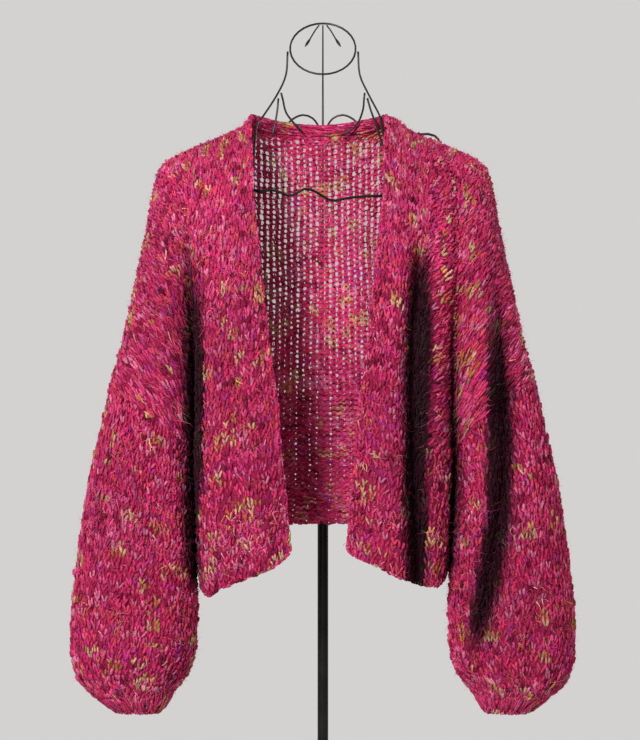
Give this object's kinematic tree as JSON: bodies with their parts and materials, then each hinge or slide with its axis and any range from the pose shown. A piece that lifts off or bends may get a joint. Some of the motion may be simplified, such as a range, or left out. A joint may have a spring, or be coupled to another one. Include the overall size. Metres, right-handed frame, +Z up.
{
  "type": "cardigan on wire dress form",
  "caption": "Open-front chunky knit cardigan with dropped shoulders and balloon sleeves, carried by a limbless black wire dress form on a pole with a round base.",
  "frame": {"origin": "centre of the round base's underside, on the pole's axis", "axes": "+Z up along the pole, -Y towards the front of the cardigan, +X to the right as seen from the front"},
  "size_m": [0.5768, 0.3258, 1.5291],
  "materials": {
    "knit_front": "chunky brushed stockinette in a marled magenta yarn with gold flecks",
    "knit_back": "chunky brushed stockinette, open purl side within, marled magenta with gold flecks",
    "knit_sleeve": "chunky brushed stockinette in a marled magenta yarn with gold flecks",
    "knit_edge": "bound and rolled knit edge in the same yarn",
    "wire_black": "satin black lacquered wire",
    "stand_black": "satin black lacquered steel"
  },
  "bodies": {
    "root": {"front_left": "knit_front", "front_right": "knit_front", "back": "knit_back", "sleeve_left": "knit_sleeve", "sleeve_right": "knit_sleeve", "neck_band": "knit_edge", "cuff_left": "knit_edge", "cuff_right": "knit_edge", "base_plate": "stand_black", "pole_collar": "stand_black", "pole": "stand_black", "neck_rod": "wire_black", "neck_ring": "wire_black", "ring_hook_left": "wire_black", "ring_hook_right": "wire_black", "neck_wire_left": "wire_black", "neck_wire_right": "wire_black", "middle_branch_left": "wire_black", "middle_branch_right": "wire_black", "inner_branch_left": "wire_black", "inner_branch_right": "wire_black", "scroll_arc_left": "wire_black", "scroll_arc_right": "wire_black", "chest_wave": "wire_black", "shoulder_bar": "wire_black", "shoulder_wire_left": "wire_black", "shoulder_wire_right": "wire_black"}
  },
  "joints": []
}
